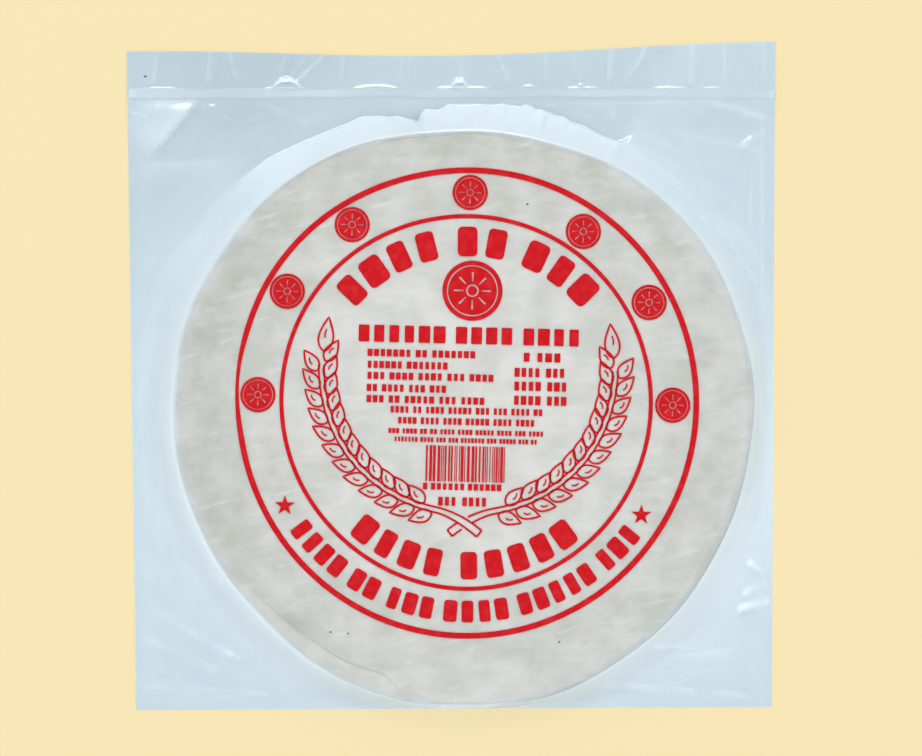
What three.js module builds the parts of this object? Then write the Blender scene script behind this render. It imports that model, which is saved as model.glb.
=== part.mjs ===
// A round stack of dried rice paper wrappers, sealed flat in a clear film bag.
//
// The bag lies on its back. +X runs to the right, +Y towards the sealed mouth and
// +Z up, with the origin under the middle of the bag's outline. Millimetres.
//
// The filled bag is one closed solid: a flat back, a low round plateau where the
// film lies on the stack, film that slopes down from the stack's rim to the two
// layers lying together, and at the mouth a heat-sealed strip with a free flap.

import * as THREE from 'three';
import * as BufferGeometryUtils from 'three/addons/utils/BufferGeometryUtils.js';

// The bag's outline, as the corners of its two side edges.
const HEAD_LEFT = new THREE.Vector2(-123.5, 123.5);
const HEAD_RIGHT = new THREE.Vector2(123.5, 127.3);
const FOOT_LEFT = new THREE.Vector2(-119.9, -127.3);
const FOOT_RIGHT = new THREE.Vector2(121.5, -125.4);
const HEAD_EDGE_SAG = 3.5;

// The stack of wrappers inside.
const STACK_CENTRE = new THREE.Vector2(4.8, -15.9);
const STACK_RADIUS = 109.5;
const STACK_HEIGHT = 9.0;
const STACK_UNEVENNESS = 0.35;
const RIM_ROUNDING = 1.6;
const RIM_DROP = 0.7;
const SWELL = 0.5;

// The film round the stack.
const FILM_PAIR = 0.8;
const SLOPE_RUN = 13.0;
const SLOPE_SHARE = 0.8;
const SLOPE_HOLLOW = 1.7;
const PLEAT_HEIGHT = 1.0;
const PLEAT_HALF_WIDTH = THREE.MathUtils.degToRad(4);
const PLEAT_BEARINGS = [46, 70, 84, 93, 101, 128, 152].map(THREE.MathUtils.degToRad);
const CORNER_PUFF = 1.6;

// The heat seal and the free flap beyond it.
const SEAL_LOWER_Y = 105.6;
const SEAL_UPPER_Y = 109.4;
const SEAL_HEIGHT = 1.5;
const SEAL_RIB = 0.4;
const SEAL_RIBS = 2;
const FLAP_CREASES = 10;
const FLAP_CREASE_HEIGHT = 1.1;

// How finely the surface is divided.
const COLUMNS_ALONG_SEAL = 54;
const STEPS_ALONG_SIDE = 32;
const STEPS_ALONG_FOOT = 48;
const SEAL_ROWS = 4;
const FLAP_ROWS = 5;
const INSIDE_RINGS = [0.35, 0.65, 0.88];
const SLOPE_RINGS = [0.2, 0.45, 0.72, 1];

const lerp = THREE.MathUtils.lerp;

// How far along its half width a bearing lies from the middle of a fold, as a
// smooth bump: 1 in the middle and 0 from the half width on.
function bump(distance, halfWidth) {
  const share = Math.min(1, Math.abs(distance) / halfWidth);
  return 0.5 + 0.5 * Math.cos(Math.PI * share);
}

// The two straight side edges and the gently sagging edge of the mouth.
function leftEdge(y) {
  return lerp(FOOT_LEFT.x, HEAD_LEFT.x, (y - FOOT_LEFT.y) / (HEAD_LEFT.y - FOOT_LEFT.y));
}

function rightEdge(y) {
  return lerp(FOOT_RIGHT.x, HEAD_RIGHT.x, (y - FOOT_RIGHT.y) / (HEAD_RIGHT.y - FOOT_RIGHT.y));
}

function headEdge(across) {
  const sag = HEAD_EDGE_SAG * Math.sin(Math.PI * across) ** 2;
  return lerp(HEAD_LEFT.y, HEAD_RIGHT.y, across) - sag;
}

// The pouch below the seal, walked once round counter-clockwise from the right
// end of the seal, as flat points.
function pouchOutline() {
  const points = [];
  const sealLeft = new THREE.Vector2(leftEdge(SEAL_LOWER_Y), SEAL_LOWER_Y);
  const sealRight = new THREE.Vector2(rightEdge(SEAL_LOWER_Y), SEAL_LOWER_Y);
  const sides = [
    [sealRight, sealLeft, COLUMNS_ALONG_SEAL],
    [sealLeft, FOOT_LEFT, STEPS_ALONG_SIDE],
    [FOOT_LEFT, FOOT_RIGHT, STEPS_ALONG_FOOT],
    [FOOT_RIGHT, sealRight, STEPS_ALONG_SIDE],
  ];
  for (const [from, to, steps] of sides) {
    for (let step = 0; step < steps; step += 1) {
      points.push(from.clone().lerp(to, step / steps));
    }
  }
  return points;
}

// One ray from the middle of the stack out to a point of the outline, as the
// surface's points from the first ring to the outline.
function pouchRay(outlinePoint) {
  const out = outlinePoint.clone().sub(STACK_CENTRE);
  const reach = out.length();
  const bearing = Math.atan2(out.y, out.x);
  out.normalize();

  const uneven = Math.sin(3 * bearing + 0.6) + 0.6 * Math.sin(7 * bearing);
  const rim = STACK_RADIUS + STACK_UNEVENNESS * 0.5 * uneven;
  const slope = Math.min(SLOPE_RUN, SLOPE_SHARE * (reach - rim));
  const rimHeight = STACK_HEIGHT - RIM_DROP;
  const pleat = Math.max(...PLEAT_BEARINGS.map((at) => bump(bearing - at, PLEAT_HALF_WIDTH)));

  const ray = [];
  const place = (distance, height) => {
    const flat = STACK_CENTRE.clone().addScaledVector(out, distance);
    ray.push(new THREE.Vector3(flat.x, flat.y, height));
  };
  for (const share of INSIDE_RINGS) {
    place(share * rim, STACK_HEIGHT + SWELL * (1 - share * share));
  }
  place(rim - RIM_ROUNDING, STACK_HEIGHT);
  place(rim, rimHeight);
  for (const share of SLOPE_RINGS) {
    const fall = (1 - share) ** SLOPE_HOLLOW;
    const fold = PLEAT_HEIGHT * pleat * Math.sin(Math.PI * share);
    place(rim + share * slope, lerp(FILM_PAIR, rimHeight, fall) + fold);
  }
  const margin = reach - rim - slope;
  const puff = CORNER_PUFF * Math.min(1, margin / STACK_RADIUS);
  place(rim + slope + 0.5 * margin, FILM_PAIR + puff);
  place(reach, FILM_PAIR);
  return ray;
}

// The rows of the seal and the flap, each from right to left.
function mouthRows() {
  const sealHeights = [];
  for (let row = 0; row <= SEAL_ROWS; row += 1) {
    const share = row / SEAL_ROWS;
    const rib = SEAL_RIB * Math.abs(Math.sin(Math.PI * SEAL_RIBS * share));
    sealHeights.push({ share, height: SEAL_HEIGHT + rib });
  }
  const column = (step) => 1 - step / COLUMNS_ALONG_SEAL;
  const rowOf = (yAt, heightAt) => {
    const row = [];
    for (let step = 0; step <= COLUMNS_ALONG_SEAL; step += 1) {
      const across = column(step);
      const y = yAt(across);
      const x = lerp(leftEdge(y), rightEdge(y), across);
      row.push(new THREE.Vector3(x, y, heightAt(across)));
    }
    return row;
  };

  const rows = sealHeights.map(({ share, height }) =>
    rowOf(() => lerp(SEAL_LOWER_Y, SEAL_UPPER_Y, share), () => height));
  for (let row = 1; row <= FLAP_ROWS; row += 1) {
    const share = row / FLAP_ROWS;
    rows.push(rowOf(
      (across) => lerp(SEAL_UPPER_Y, headEdge(across), share),
      (across) => FILM_PAIR + share * FLAP_CREASE_HEIGHT
        * (0.5 + 0.5 * Math.sin(2 * Math.PI * FLAP_CREASES * across + 2 * Math.sin(5 * across))),
    ));
  }
  return rows;
}

// A triangle, unless two of its corners meet, as they do where a wall ends.
function addTriangle(triangles, a, b, c) {
  if (!a.equals(b) && !b.equals(c) && !c.equals(a)) {
    triangles.push(a, b, c);
  }
}

// Triangles between two rows of equal length. Seen from outside, the second row
// lies to the right of the walk along the first.
function addBand(triangles, first, second, closed) {
  const count = closed ? first.length : first.length - 1;
  for (let i = 0; i < count; i += 1) {
    const next = (i + 1) % first.length;
    addTriangle(triangles, first[i], second[i], second[next]);
    addTriangle(triangles, first[i], second[next], first[next]);
  }
}

function addFan(triangles, centre, ring) {
  for (let i = 0; i < ring.length; i += 1) {
    addTriangle(triangles, centre, ring[i], ring[(i + 1) % ring.length]);
  }
}

function sealedBagGeometry() {
  const triangles = [];
  const rays = pouchOutline().map(pouchRay);
  const rings = rays[0].map((_, level) => rays.map((ray) => ray[level]));
  const crown = new THREE.Vector3(STACK_CENTRE.x, STACK_CENTRE.y, STACK_HEIGHT + SWELL);
  addFan(triangles, crown, rings[0]);
  for (let level = 1; level < rings.length; level += 1) {
    addBand(triangles, rings[level - 1], rings[level], true);
  }

  // The step from the film up to the seal runs along the pouch's last ring.
  const rows = mouthRows();
  const pouchEdge = rings[rings.length - 1];
  const underSeal = pouchEdge.slice(0, COLUMNS_ALONG_SEAL + 1);
  addBand(triangles, underSeal, rows[0], false);
  for (let row = 1; row < rows.length; row += 1) {
    addBand(triangles, rows[row - 1], rows[row], false);
  }

  // The whole outline, counter-clockwise from the right end of the seal.
  const lastRow = rows[rows.length - 1];
  const upRightSide = rows.slice(0, -1).map((row) => row[0]);
  const downLeftSide = rows.slice(0, -1).map((row) => row[COLUMNS_ALONG_SEAL]).reverse();
  const top = [...upRightSide, ...lastRow, ...downLeftSide, ...pouchEdge.slice(COLUMNS_ALONG_SEAL)];
  const outline = [...top, pouchEdge[0]];
  const foot = outline.map((point) => new THREE.Vector3(point.x, point.y, 0));
  addBand(triangles, outline, foot, true);
  addFan(triangles, new THREE.Vector3(STACK_CENTRE.x, STACK_CENTRE.y, 0), [...foot].reverse());

  const geometry = new THREE.BufferGeometry().setFromPoints(triangles);
  const merged = BufferGeometryUtils.mergeVertices(geometry);
  return merged;
}

const clearFilm = new THREE.MeshStandardMaterial({
  color: 0xcbdde7,
  roughness: 0.2,
  metalness: 0,
});

const bag = new THREE.Mesh(sealedBagGeometry(), clearFilm);
bag.name = 'sealed_bag';

const pack = new THREE.Group();
pack.add(bag);

export default pack;
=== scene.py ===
"""A round stack of dried rice paper wrappers, sealed flat in a film bag that lies on its back.

The pieces are the bag's clear front film with red print under it, its milky back film, the heat
seal between them at the mouth, and the wrappers. Everything is in metres in the part's own frame.
"""

import math

import bpy
import numpy as np
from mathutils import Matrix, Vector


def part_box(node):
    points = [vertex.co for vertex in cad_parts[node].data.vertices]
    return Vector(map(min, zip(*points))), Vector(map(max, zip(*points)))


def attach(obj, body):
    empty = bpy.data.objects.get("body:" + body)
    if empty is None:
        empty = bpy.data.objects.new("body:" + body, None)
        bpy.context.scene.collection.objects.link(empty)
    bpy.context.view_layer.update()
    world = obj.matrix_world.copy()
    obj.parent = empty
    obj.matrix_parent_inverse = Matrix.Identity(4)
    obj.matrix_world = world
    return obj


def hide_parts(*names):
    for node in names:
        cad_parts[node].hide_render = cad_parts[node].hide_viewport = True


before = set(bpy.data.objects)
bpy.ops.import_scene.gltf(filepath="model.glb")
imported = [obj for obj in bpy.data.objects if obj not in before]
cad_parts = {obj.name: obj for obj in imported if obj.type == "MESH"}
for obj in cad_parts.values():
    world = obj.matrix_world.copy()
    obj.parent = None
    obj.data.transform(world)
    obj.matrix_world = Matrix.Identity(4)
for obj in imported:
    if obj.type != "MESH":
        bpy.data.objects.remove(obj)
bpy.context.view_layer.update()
bag_low, bag_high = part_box("sealed_bag")

MM = 0.001
TURN = 2 * math.pi

# The bag's outline, from the corners of its two side edges.
HEAD_LEFT = np.array([bag_low.x, bag_high.y - 3.8 * MM])
HEAD_RIGHT = np.array([bag_high.x, bag_high.y])
FOOT_LEFT = np.array([bag_low.x + 3.6 * MM, bag_low.y])
FOOT_RIGHT = np.array([bag_high.x - 1.3 * MM, bag_low.y + 1.2 * MM])
HEAD_EDGE_SAG = 3.5 * MM

# The stack of wrappers, whose rim keeps a little off the bag's sides.
STACK_CENTRE = np.array([4.8, -15.9]) * MM
STACK_RADIUS = 110.3 * MM
RIM_TO_SIDE = 0.8 * MM
WRAPPERS = 42
WRAPPER_THICKNESS = 0.12 * MM
SWELL = 0.45 * MM

# The film. The gap is what the top wrapper's unevenness needs under it.
FILM_THICKNESS = 0.05 * MM
FILM_GAP = 0.4 * MM
PLATEAU = bag_high.z - SWELL

# How far out the film comes down from the rim, where it is tight and where it sags hollow: a
# run, and the largest share of the way to the bag's side that it may take.
SLOPE_RUN = 9.0 * MM
SLOPE_SHARE = 0.8
HOLLOW_RUN = 19.0 * MM
HOLLOW_SHARE = 0.97
HOLLOW_POWER = 2.2

# How far the front film lies off the back film beyond that, and at their common edge.
MARGIN_LIFT = 0.25 * MM
EDGE_LIFT = 0.1 * MM
EDGE_FADE = 12.0 * MM

# The heat seal and the flap beyond it. The lift is off the ground, the gap between the films.
SEAL_LOWER = bag_high.y - 21.7 * MM
SEAL_UPPER = bag_high.y - 17.9 * MM
SEAL_LIFT = 1.0 * MM
SEAL_GAP = 0.45 * MM
SEAL_MIDDLE = 0.5 * (SEAL_LOWER + SEAL_UPPER)
SEAL_HALF = 0.5 * (SEAL_UPPER - SEAL_LOWER)
SEAL_THICKNESS = 0.08 * MM

# Where the print is centred, how far it is turned in degrees, and how deep it lies under the
# film's face.
PRINT_CENTRE = np.array([6.3, -10.3]) * MM
PRINT_TURN = -1.4
INK_DEPTH = 0.12 * MM
INK_THICKNESS = 0.03 * MM

# The two ears of grain, in millimetres on the print: the middle of the ring that their stems
# follow, half a stem's width, and the width of their lines and of the grains' fine creases.
EAR_CENTRE = np.array([-0.9, 14.2])
STEM_HALF = 1.0
EAR_LINE = 0.74
CREASE_LINE = 0.6

# How many steps the film is divided into along the seal, the sides, the foot and the flap.
HEAD_COLUMNS = 300
SIDE_STEPS = 140
FOOT_STEPS = 150
FLAP_COLUMNS = 440

# Swells round the stack are each a bearing and a half width in degrees, and a size in
# millimetres. First where its rim is fuller or flatter than a circle.
RIM_SWELLS = ((138, 70, 1.9), (38, 44, 1.8), (-28, 40, -1.4), (-138, 40, -1.8), (88, 34, -2.0))

# Scallops of the tight film's foot, by how much further out they reach.
SCALLOPS = (
    (129, 13, 2.2), (109, 3, 0.9), (103.5, 3, -1.4), (99.8, 3.4, -3.4), (98.8, 1.0, -1.6),
    (95, 2.5, -1.0), (92.5, 1.1, 1.0), (82, 20, 2.0), (86, 1.3, 1.2), (78.3, 1.4, 1.6), (74, 7, 0.9),
    (71.5, 1.5, 0.7), (67.6, 3.2, 0.8),
)

# Pleats in the tight film beside the stack: bearing, half width and height.
PLEATS = (
    (126, 3.0, 0.2), (113, 2.2, 0.2), (104, 1.6, 0.3), (97.2, 1.0, 0.4),
    (92.1, 0.9, 0.8), (87, 1.2, 0.6), (82.7, 1.0, 0.8), (78.6, 0.9, 0.5),
    (75.3, 1.1, 0.8), (68, 1.8, 0.3), (62.8, 1.3, 0.4),
)

# Rounded ridges in the film: start, end, half width and height, in millimetres.
RIDGES = (
    ((-122, 100.4), (-117, 99.4), 1.0, 0.6),
    ((-93.5, 100.3), (-87, 104.1), 1.4, 0.25),
    ((-92, 103), (-82, 96), 1.8, 0.25),
    ((-70, 103), (-56, 97.5), 2.0, 0.2),
    ((36, 103.0), (121, 104.9), 1.1, 0.3),
    ((61, 102), (61.5, 99), 1.4, 0.5),
    ((70, 96), (92, 80), 3.0, 0.15),
    ((76, 86), (99, 56), 1.0, 0.1),
    ((86, 92), (116, 86), 2.2, 0.3),
    ((111, 88), (119, 93), 1.5, 1.1),
    ((90, 89), (96, 86.5), 1.2, 0.4),
    ((113.5, 76), (114, 56), 1.0, 0.3),
    ((118, 100), (118.5, 30), 1.3, 0.35),
    ((101, 103), (121, 98), 2.5, 0.45),
    ((114, -71.5), (118, -75), 2.2, 2.0),
    ((112, -83), (119, -79), 2.2, 1.5),
    ((110, -89), (120, -86), 2.4, 1.9),
    ((78, -103), (99, -103.5), 1.8, 0.4),
    ((60, -118), (112, -121.5), 2.6, 0.45),
    ((-85, -105.5), (-80, -108), 1.3, 0.5),
    ((-90, -122), (-82, -123), 1.3, 0.5),
    ((-88, -74.5), (-87, -79), 1.3, 0.45),
    ((-116, -100), (-90, -112), 2.6, 0.4),
    ((-112, -90), (-84, -106), 2.8, 0.35),
    ((-116, -118), (-70, -121), 1.8, 0.35),
)

# Tucks, where the film steps down sharply on the right of the way from start to end and
# slopes away gently on its left: start, end, width of the gentle side, height and painted highlight.
TUCKS = (
    ((-114.5, 84), (-95.5, 106), 25.0, 0.6, 0.3),
    ((-84, 82), (-121, 80.5), 9.0, 0.35, 0.1),
    ((118, -110), (95, -113), 7.0, 0.5, 0.0),
    ((110, -104), (84, -106), 6.0, 0.4, 0.1),
    ((-104, -110), (-119, -108), 6.0, 0.4, 0.0),
    ((-92, -117), (-112, -116), 5.0, 0.35, 0.05),
)

# Arched puckers that the seal pulls into the flap: middle, half width, how far the arch
# stands over the seal, and its height.
ARCHES = (
    (-62.5, 6.0, 2.6, 1.0), (-63, 9.5, 0.1, 0.4), (-28.6, 10.0, 1.0, 0.42), (4.0, 12.0, 0.3, 0.45),
    (3.2, 3.8, 2.4, 0.9), (29.5, 4.0, 1.2, 0.25), (50, 7.0, 0.4, 0.36), (49.4, 2.6, 1.6, 0.3),
    (83, 7.2, 0.3, 0.4), (-110, 8.0, 0.4, 0.2), (100, 6.0, 0.5, 0.2),
)

# Round puckers below the seal: middle, half widths and height.
PUCKERS = (
    ((-14.5, 103.9), (2.4, 1.5), 0.6),
    ((20, 103.4), (2.2, 1.6), 0.5),
    ((29, 103.6), (2.6, 1.6), 0.5),
    ((4.4, 103.6), (3.0, 1.5), 0.5),
)

# Soft upright creases in the flap: place at the seal, lean towards the edge, half width.
FLAP_CREASES = (
    (-113, 1, 1.2), (-92.4, 1, 1.3), (-81, -3, 1.0), (-66, 3, 0.9), (-63, 8, 0.7), (-59, 11, 1.5),
    (-42, 1, 1.0), (-19.4, 1, 0.8), (-15.6, 0, 0.7), (-13, -1, 0.6), (5, -2, 1.0), (18.4, -1, 0.7),
    (22, -4, 1.1), (26.6, -2, 0.6), (36, 0, 0.9), (48, -1, 0.8), (51, -1, 0.6), (60, 1, 1.2),
    (66, 7, 1.4), (77, 0, 0.8), (91, 1, 1.6), (104, 0, 0.9), (118.5, 0, 1.0),
)


# ---------------------------------------------------------------------------------------
# Shapes that the film and the wrappers follow


def smooth_step(value, start, end):
    """0 up to start, 1 from end, and a smooth rise between them."""
    share = np.clip((value - start) / (end - start), 0, 1)
    return share * share * (3 - 2 * share)


def bump(distance, half_width):
    """1 in the middle, falling smoothly to 0 at half_width."""
    return 0.5 + 0.5 * np.cos(math.pi * np.clip(np.abs(distance) / half_width, 0, 1))


def smooth_max(a, b, width):
    """The larger of two values, rounded off over a width where they cross."""
    return 0.5 * (a + b + np.sqrt((a - b) ** 2 + width * width))


def smooth_min(a, b, width):
    """The smaller of two values, rounded off over a width where they cross."""
    return 0.5 * (a + b - np.sqrt((a - b) ** 2 + width * width))


def bearing_gap(bearing, middle):
    """How far a bearing is from a middle one, in degrees either way."""
    return (np.degrees(bearing) - middle + 180) % 360 - 180


def round_bump(bearing, middle, half_width):
    """1 at a middle bearing, falling smoothly to 0 on both sides of it."""
    return bump(bearing_gap(bearing, middle), half_width)


def swells(bearing, table):
    """The sum of a table's swells at a bearing."""
    return sum(size * round_bump(bearing, at, half) for at, half, size in table) * MM


def undulation(x, y, wavelength, seed, waves=7):
    """Smooth unevenness of about 1 either way, as a few waves that cross at random."""
    picks = np.random.default_rng(seed)
    height = np.zeros(np.broadcast(x, y).shape)
    for _ in range(waves):
        heading, phase, stretch = picks.uniform([0, 0, 0.7], [TURN, TURN, 1.4])
        along = x * math.cos(heading) + y * math.sin(heading)
        height = height + np.sin(TURN * along / (wavelength * stretch) + phase)
    return height / math.sqrt(waves)


def along_edge(start, end, place, axis):
    """A straight edge's other coordinate, where its place along one axis is given."""
    share = (place - start[axis]) / (end[axis] - start[axis])
    return start[1 - axis] + share * (end[1 - axis] - start[1 - axis])


def left_edge(y):
    """How far right the bag's left side is, at a place along it."""
    return along_edge(FOOT_LEFT, HEAD_LEFT, y, 1)


def right_edge(y):
    """How far right the bag's right side is, at a place along it."""
    return along_edge(FOOT_RIGHT, HEAD_RIGHT, y, 1)


def foot_edge(x):
    """How far up the bag's foot is, at a place along it."""
    return along_edge(FOOT_LEFT, FOOT_RIGHT, x, 0)


def head_edge(across):
    """How far up the mouth's edge is, a share of the way across, with its sag."""
    sag = HEAD_EDGE_SAG * np.sin(math.pi * across) ** 2
    return HEAD_LEFT[1] + across * (HEAD_RIGHT[1] - HEAD_LEFT[1]) - sag


def across_bag(across, y):
    """The place a share of the way across the bag, from its left side to its right."""
    return left_edge(y) + across * (right_edge(y) - left_edge(y))


SEAL_LEFT = np.array([left_edge(SEAL_LOWER), SEAL_LOWER])
SEAL_RIGHT = np.array([right_edge(SEAL_LOWER), SEAL_LOWER])
POUCH_SIDES = (
    (SEAL_RIGHT, SEAL_LEFT),
    (SEAL_LEFT, FOOT_LEFT),
    (FOOT_LEFT, FOOT_RIGHT),
    (FOOT_RIGHT, SEAL_RIGHT),
)


def reach(bearing):
    """How far the pouch's outline is from the middle of the stack."""
    out = np.stack([np.cos(bearing), np.sin(bearing)], axis=-1)
    nearest = np.full(np.shape(bearing), np.inf)
    for start, end in POUCH_SIDES:
        outward = np.array([end[1] - start[1], start[0] - end[0]])
        towards = out @ outward
        distance = outward @ (start - STACK_CENTRE) / np.where(towards > 0, towards, 1)
        nearest = np.where(towards > 0, np.minimum(nearest, distance), nearest)
    return nearest


def rim(bearing):
    """The stack's radius: a little fuller at its upper left and right than elsewhere."""
    uneven = (0.25 * np.sin(9 * bearing + 1) + 0.2 * np.sin(14 * bearing)) * MM
    return np.minimum(STACK_RADIUS + swells(bearing, RIM_SWELLS) + uneven, reach(bearing) - RIM_TO_SIDE)


def stretched_tight(bearing):
    """1 where the film is pulled straight from the rim to a sharp foot, 0 where it sags."""
    from_right = smooth_step(bearing_gap(bearing, 61), -2.0, 0.8)
    return from_right * smooth_step(bearing_gap(bearing, 131), 6, -6)


def slope_run(bearing):
    """How far out from the rim the tight film reaches before it lies down, with its scallops."""
    free = SLOPE_RUN + swells(bearing, SCALLOPS)
    return np.minimum(free, SLOPE_SHARE * (reach(bearing) - rim(bearing)))


def slope_fall(bearing, out):
    """How much of its height the film has kept at a distance out from the rim, from 1 to 0."""
    straight = 1 - out / slope_run(bearing)
    hollow_run = np.minimum(HOLLOW_RUN, HOLLOW_SHARE * (reach(bearing) - rim(bearing)))
    hollow = np.clip(1 - out / hollow_run, 0, None) ** HOLLOW_POWER
    hollow = np.where(out < 0, 1 - HOLLOW_POWER * out / hollow_run, hollow)
    tight = stretched_tight(bearing)
    return tight * straight + (1 - tight) * hollow


def pleats(bearing, out):
    """Short pleats that run down the tight film to its foot."""
    share = np.clip(out / slope_run(bearing), 0, 1.25)
    swell = np.sin(math.pi * share / 1.25) ** 1.5
    return swells(bearing, PLEATS) * swell * stretched_tight(bearing)


def polar(x, y):
    """The bearings and distances of places from the middle of the stack."""
    east, north = x - STACK_CENTRE[0], y - STACK_CENTRE[1]
    return np.arctan2(north, east), np.hypot(east, north)


def round_stack(bearing, distance):
    """The places at some bearings and distances from the middle of the stack."""
    x = STACK_CENTRE[0] + distance * np.cos(bearing)
    y = STACK_CENTRE[1] + distance * np.sin(bearing)
    return x, y


def stack_top(x, y):
    """The gently uneven level that the top wrapper and the film over it share."""
    bearing, distance = polar(x, y)
    crown = SWELL * (1 - np.clip(distance / STACK_RADIUS, 0, 1) ** 2)
    waves = 0.14 * MM * undulation(x, y, 85 * MM, seed=3)
    return PLATEAU - FILM_GAP - 0.3 * MM + crown + waves


def along_line(x, y, start, end):
    """Where places lie by a line: their share of the way, how far they are to its left, and
    the line's length."""
    start, end = np.array(start) * MM, np.array(end) * MM
    way = end - start
    length = math.hypot(*way)
    share = ((x - start[0]) * way[0] + (y - start[1]) * way[1]) / length ** 2
    left = (way[0] * (y - start[1]) - way[1] * (x - start[0])) / length
    return share, left, length


def fold_relief(x, y):
    """The height of the folds in the front film round the stack, and how much paler they make it: crease
    whitening together with painted glints.
    """
    height = np.zeros(np.broadcast(x, y).shape)
    for start, end, half_width, rise in RIDGES:
        share, left, length = along_line(x, y, start, end)
        beyond = np.maximum(np.abs(share - 0.5) - 0.5, 0) * length
        height = height + rise * MM * bump(np.hypot(left, beyond), half_width * MM)
    for middle, (wide, deep), rise in PUCKERS:
        gap = np.hypot((x / MM - middle[0]) / wide, (y / MM - middle[1]) / deep)
        height = height + rise * MM * bump(gap, 1)
    # Paler with the height of the ridges and puckers: crease whitening and painted glints together.
    white = (0.17 + 0.12 * undulation(x, y, 16 * MM, seed=51)) * height / MM
    for start, end, width, rise, painted_highlight in TUCKS:
        share, left, _ = along_line(x, y, start, end)
        ends = smooth_step(share, -0.15, 0.3) * smooth_step(share, 1.15, 0.7)
        gentle = np.clip(1 - left / (width * MM), 0, 1) * smooth_step(left, -1.2 * MM, 0.4 * MM)
        height = height + rise * MM * gentle * ends
        # A painted highlight over the tuck's gentle side.
        white = white + painted_highlight * gentle * ends
    return height, white


def flap_creases(x, y):
    """The height of the soft creases that run up the flap from the seal."""
    share = smooth_step(y, SEAL_UPPER, SEAL_UPPER + 14 * MM)
    creases = np.zeros(np.broadcast(x, y).shape)
    for place, lean, half_width in FLAP_CREASES:
        middle = (place + lean * share) * MM
        creases = creases + 0.26 * half_width * MM * bump(x - middle, half_width * MM)
    return creases * smooth_step(y, SEAL_UPPER, SEAL_UPPER + 4 * MM)


def arched_puckers(x, y):
    """The height of the arches in the flap, which rise over the seal to a crest and then drop
    evenly, and a painted glint that whitens the film along that drop."""
    height = np.zeros(np.broadcast(x, y).shape)
    white = np.zeros(height.shape)
    base = SEAL_UPPER - 0.9 * MM
    for middle, half_width, tall, rise in ARCHES:
        ends = smooth_step(np.abs(x - middle * MM), half_width * MM, 0.2 * half_width * MM)
        crest = base + (0.6 + tall * ends) * MM
        drop = 2.5 * rise * MM
        even = np.clip(1 - (y - crest) / drop, 0, 1)
        swell = np.sqrt(ends) * smooth_step(y, base, crest)
        height = np.maximum(height, rise * MM * swell * even)
        # Painted glint: the arch's even drop is whitened so that it shows pale under any light.
        white = np.maximum(white, rise * swell * bump(even - 0.6, 0.5) * (even > 0))
    return height, white


def flap_lift(x, y):
    """How far the two films of the flap stand off the ground together."""
    return SEAL_LIFT * (1 - 0.55 * smooth_step(y, SEAL_LOWER, bag_high.y)) + flap_creases(x, y)


def back_height(x, y):
    """The back film: flat on the ground, and rising a little towards the seal."""
    rise = smooth_step(y, SEAL_LOWER - 14 * MM, SEAL_LOWER)
    floor = 2 * FILM_THICKNESS
    return floor + np.where(y > SEAL_LOWER, flap_lift(x, y), SEAL_LIFT * rise)


def side_fade(x, y):
    """0 at the bag's two sides and foot, where the films meet, and 1 further in."""
    gap = np.minimum(x - left_edge(y), right_edge(y) - x)
    gap = np.minimum(gap, y - foot_edge(x))
    return smooth_step(gap, 0, EDGE_FADE)


def wrinkles(bearing, out):
    """Loose wrinkles in patches, which run round the stack as the film gives way there."""
    spread = 0.6 * STACK_RADIUS + 2 * out
    x, y = spread * np.cos(bearing), spread * np.sin(bearing)
    loose = smooth_step(undulation(x, y, 70 * MM, seed=14), -0.6, 1.2)
    fine = undulation(x, y, 17 * MM, seed=11, waves=11)
    broad = undulation(x, y, 34 * MM, seed=12)
    return (0.35 + (0.06 + 0.2 * loose) * fine + 0.16 * broad) * MM


def pouch_film_height(x, y):
    """The front film from its flat rest on the stack, down the slope, to the seal and sides."""
    bearing, distance = polar(x, y)
    out = distance - rim(bearing)
    back = back_height(x, y)
    puff = 0.7 * MM * smooth_step(out - slope_run(bearing), 0, 30 * MM)
    folds = fold_relief(x, y)[0] * smooth_step(out, 0.5 * MM, 4 * MM)
    near_seal = smooth_step(y, SEAL_LOWER - 6 * MM, SEAL_LOWER)
    loose = MARGIN_LIFT + puff + folds + wrinkles(bearing, out)
    lift = (loose * (1 - near_seal) + SEAL_GAP * near_seal) * side_fade(x, y)
    margin = back + EDGE_LIFT + lift
    plateau = stack_top(x, y) + FILM_GAP
    slope = margin + (plateau - margin) * slope_fall(bearing, out) + pleats(bearing, out)
    shoulder = np.minimum(0.3 * MM, 0.1 * slope_run(bearing))
    return smooth_max(smooth_min(plateau, slope, shoulder), margin, 0.3 * shoulder)


def seal_ribs(y):
    """1 along the fine rib at either edge of the heat seal, and 0 away from them."""
    return bump(np.abs(y - SEAL_MIDDLE) - SEAL_HALF, 0.9 * MM)


def mouth_film_height(x, y):
    """The front film over the heat seal, with its two fine ribs, and over the flap."""
    ribs = seal_ribs(y) * (0.6 + 0.4 * undulation(x, y, 30 * MM, seed=13))
    edge = smooth_step(np.minimum(x - left_edge(y), right_edge(y) - x), 0, EDGE_FADE)
    return back_height(x, y) + EDGE_LIFT + (SEAL_GAP + 0.07 * MM * ribs + arched_puckers(x, y)[0]) * edge


def film_height(x, y):
    """The front film's upper face anywhere in the bag."""
    join = smooth_step(y, SEAL_LOWER - 0.3 * MM, SEAL_LOWER + 0.3 * MM)
    pouch = pouch_film_height(x, np.minimum(y, SEAL_LOWER + 0.3 * MM))
    return (1 - join) * pouch + join * mouth_film_height(x, y)


def loose_haze_and_painted_light(bearing, beyond):
    """How pale the sagging film is beyond the rim, most at the lower right: painted light over the
    stack's shade, together with the film's milkiness.
    """
    towards_mouth = smooth_step(np.sin(bearing), -0.1, 0.8)
    lower_right = round_bump(bearing, -20, 50)
    strength = 0.58 + 0.03 * lower_right - 0.3 * towards_mouth - 0.13 * round_bump(bearing, 172, 50)
    return strength * np.exp(-beyond / (11 + 11 * lower_right)) + 0.04 * np.exp(-beyond / 4)


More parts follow.
